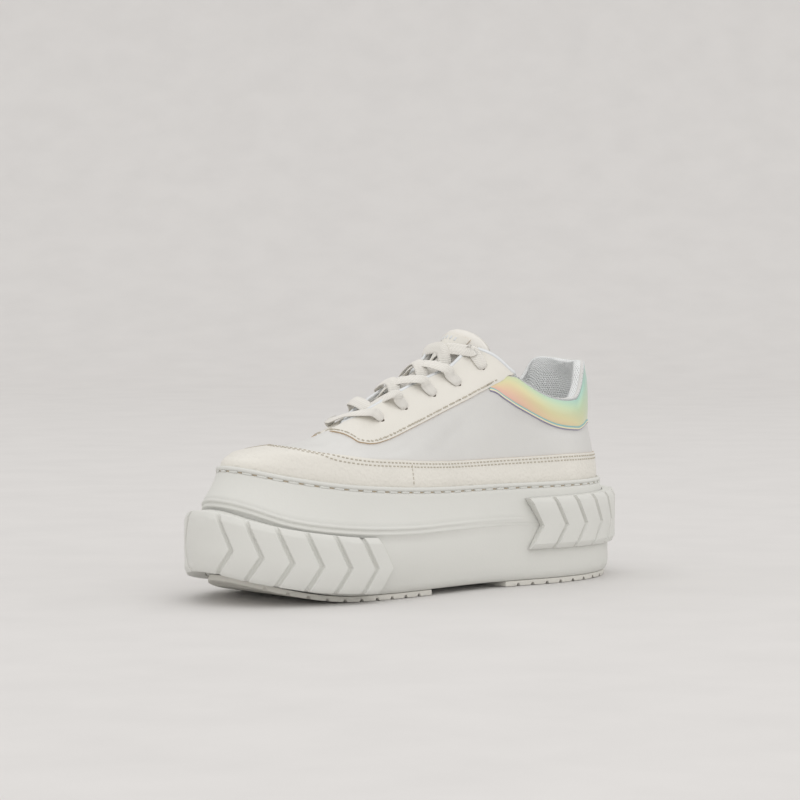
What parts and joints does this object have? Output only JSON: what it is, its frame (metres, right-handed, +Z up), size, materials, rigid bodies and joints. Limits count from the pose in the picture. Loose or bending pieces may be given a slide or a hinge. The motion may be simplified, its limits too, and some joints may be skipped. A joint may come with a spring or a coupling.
{
  "type": "platform sneaker",
  "caption": "Low lace-up platform sneaker, left foot, with a thick sole, raised chevron bumpers at toe and heel, a padded collar and a padded tongue.",
  "frame": {"origin": "middle of the whole shoe's box in plan, on the floor the sole stands on", "axes": "+X towards the toe, +Y towards the outer side of the foot, +Z up"},
  "size_m": [0.296, 0.112, 0.145],
  "materials": {
    "quarter_leather": "satin",
    "tongue_leather": "satin",
    "sole_foam": "matte",
    "tread_rubber": "matte",
    "insole_fabric": "matte",
    "lace_fabric": "matte"
  },
  "bodies": {
    "root": {"midsole": "sole_foam", "toe_bumper": "sole_foam", "heel_bumper": "sole_foam", "outsole_heel": "tread_rubber", "outsole_forefoot": "tread_rubber", "insole": "insole_fabric", "upper": "quarter_leather", "tongue": "tongue_leather", "lace_bar": "lace_fabric", "lace_crossing_1": "lace_fabric", "lace_crossing_2": "lace_fabric", "lace_crossing_3": "lace_fabric", "lace_crossing_4": "lace_fabric"}
  },
  "joints": []
}
